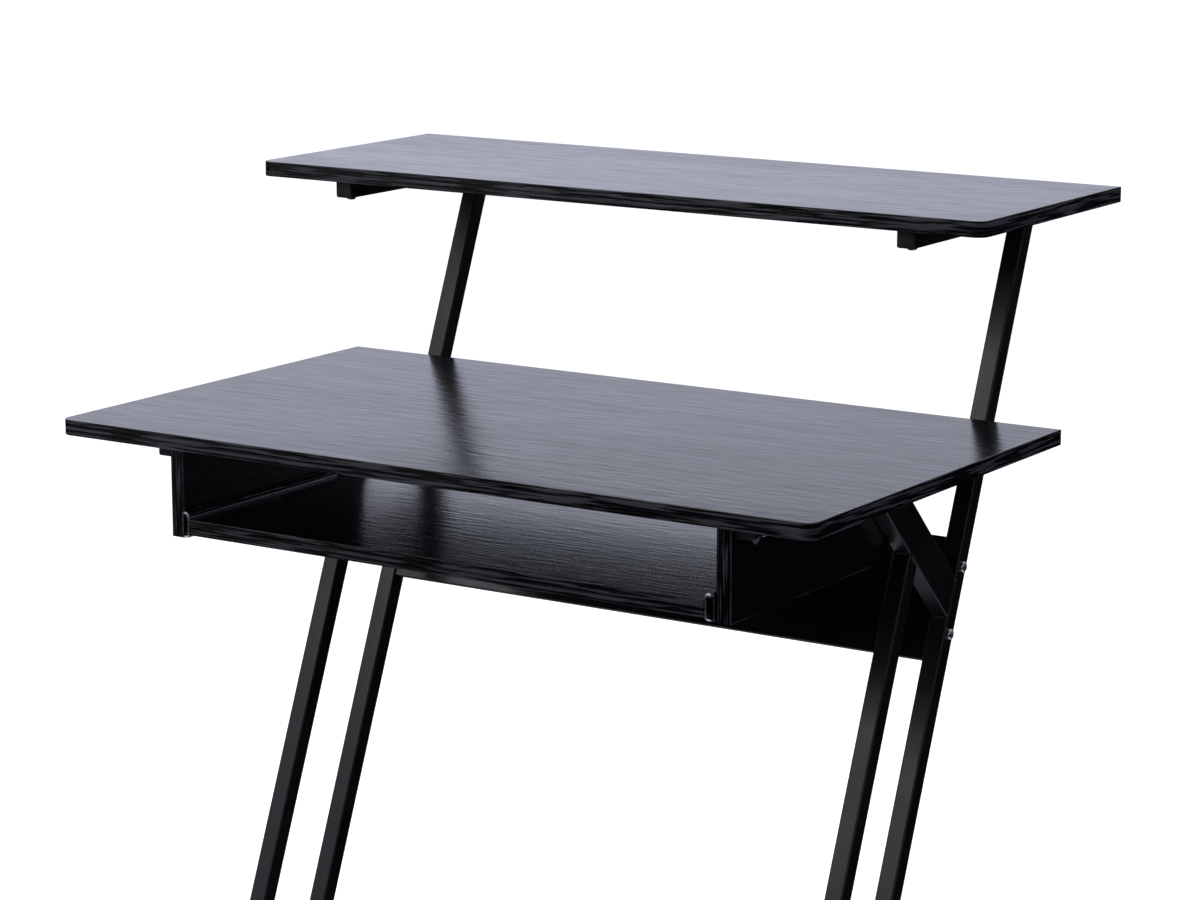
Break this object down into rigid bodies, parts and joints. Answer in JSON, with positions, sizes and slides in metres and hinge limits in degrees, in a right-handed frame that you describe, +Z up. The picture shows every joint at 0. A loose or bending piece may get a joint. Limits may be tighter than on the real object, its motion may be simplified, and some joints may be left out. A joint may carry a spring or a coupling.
{
  "type": "computer desk",
  "caption": "Computer desk on leaning square-tube side frames, with a raised monitor shelf, a modesty panel and a keyboard tray that pulls out on ball-bearing slides.",
  "frame": {"origin": "on the floor, in the middle of the overall width and depth", "axes": "+X to the user's right, +Y to the back, +Z up; the left and right halves mirror each other"},
  "size_m": [0.88, 0.64, 0.97],
  "materials": {
    "black_wood_laminate": "satin black wood-grain laminate on particle board",
    "black_edge_band": "black wood-grain plastic edge band",
    "black_powder_coat": "satin black powder coat on steel tube",
    "black_plug_plastic": "moulded black plastic",
    "zinc_plated_slide": "bright zinc-plated rolled steel",
    "slide_cage_steel": "plain pressed steel",
    "polished_ball_steel": "polished bearing steel",
    "zinc_plated_fastener": "bright zinc-plated steel",
    "zinc_alloy_cam": "die-cast zinc alloy",
    "black_foot_plastic": "moulded black plastic"
  },
  "bodies": {
    "frame": {"desktop": "black_wood_laminate", "monitor_shelf": "black_wood_laminate", "modesty_panel": "black_wood_laminate", "right_side_panel": "black_wood_laminate", "left_side_panel": "black_wood_laminate", "desktop_edge_band": "black_edge_band", "monitor_shelf_edge_band": "black_edge_band", "modesty_panel_edge_band": "black_edge_band", "right_side_panel_edge_band": "black_edge_band", "left_side_panel_edge_band": "black_edge_band", "right_rear_leg": "black_powder_coat", "left_rear_leg": "black_powder_coat", "right_front_leg": "black_powder_coat", "left_front_leg": "black_powder_coat", "right_brace": "black_powder_coat", "left_brace": "black_powder_coat", "right_desk_arm": "black_powder_coat", "left_desk_arm": "black_powder_coat", "right_shelf_arm": "black_powder_coat", "left_shelf_arm": "black_powder_coat", "right_floor_runner": "black_powder_coat", "left_floor_runner": "black_powder_coat", "rear_crossbar": "black_powder_coat", "desk_arm_plugs": "black_plug_plastic", "shelf_arm_plugs": "black_plug_plastic", "floor_runner_plugs": "black_plug_plastic", "desktop_screws": "zinc_plated_fastener", "shelf_screws": "zinc_plated_fastener", "modesty_bolts": "zinc_plated_fastener", "modesty_barrel_nuts": "zinc_plated_fastener", "side_panel_cam_pins": "zinc_plated_fastener", "slide_panel_screws": "zinc_plated_fastener", "crossbar_bolts": "zinc_plated_fastener", "foot_inserts": "zinc_plated_fastener", "side_panel_cams": "zinc_alloy_cam", "crossbar_threaded_plugs": "black_plug_plastic", "right_slide_outer_member": "zinc_plated_slide", "left_slide_outer_member": "zinc_plated_slide"},
    "tray": {"keyboard_tray": "black_wood_laminate", "keyboard_tray_edge_band": "black_edge_band", "right_slide_inner_member": "zinc_plated_slide", "left_slide_inner_member": "zinc_plated_slide", "slide_tray_screws": "zinc_plated_fastener"},
    "right_cage": {"right_slide_ball_cage": "slide_cage_steel", "right_slide_balls": "polished_ball_steel"},
    "left_cage": {"left_slide_ball_cage": "slide_cage_steel", "left_slide_balls": "polished_ball_steel"},
    "right_front_foot": {"right_front_foot": "black_foot_plastic"},
    "right_rear_foot": {"right_rear_foot": "black_foot_plastic"},
    "left_front_foot": {"left_front_foot": "black_foot_plastic"},
    "left_rear_foot": {"left_rear_foot": "black_foot_plastic"}
  },
  "joints": [
    {"name": "tray_slide", "type": "slide", "parent": "frame", "child": "tray", "axis": [0, -1, 0], "range_m": [0, 0.175]},
    {"name": "right_cage_slide", "type": "slide", "parent": "frame", "child": "right_cage", "axis": [0, -1, 0], "range_m": [0, 0.0875]},
    {"name": "left_cage_slide", "type": "slide", "parent": "frame", "child": "left_cage", "axis": [0, -1, 0], "range_m": [0, 0.0875]},
    {"name": "right_front_foot_height", "type": "slide", "parent": "frame", "child": "right_front_foot", "axis": [0, 0, -1], "range_m": [0, 0.01]},
    {"name": "right_rear_foot_height", "type": "slide", "parent": "frame", "child": "right_rear_foot", "axis": [0, 0, -1], "range_m": [0, 0.01]},
    {"name": "left_front_foot_height", "type": "slide", "parent": "frame", "child": "left_front_foot", "axis": [0, 0, -1], "range_m": [0, 0.01]},
    {"name": "left_rear_foot_height", "type": "slide", "parent": "frame", "child": "left_rear_foot", "axis": [0, 0, -1], "range_m": [0, 0.01]}
  ],
  "couplings": [
    {"joint": "right_cage_slide", "follows": "tray_slide", "ratio": 0.5},
    {"joint": "left_cage_slide", "follows": "tray_slide", "ratio": 0.5}
  ]
}
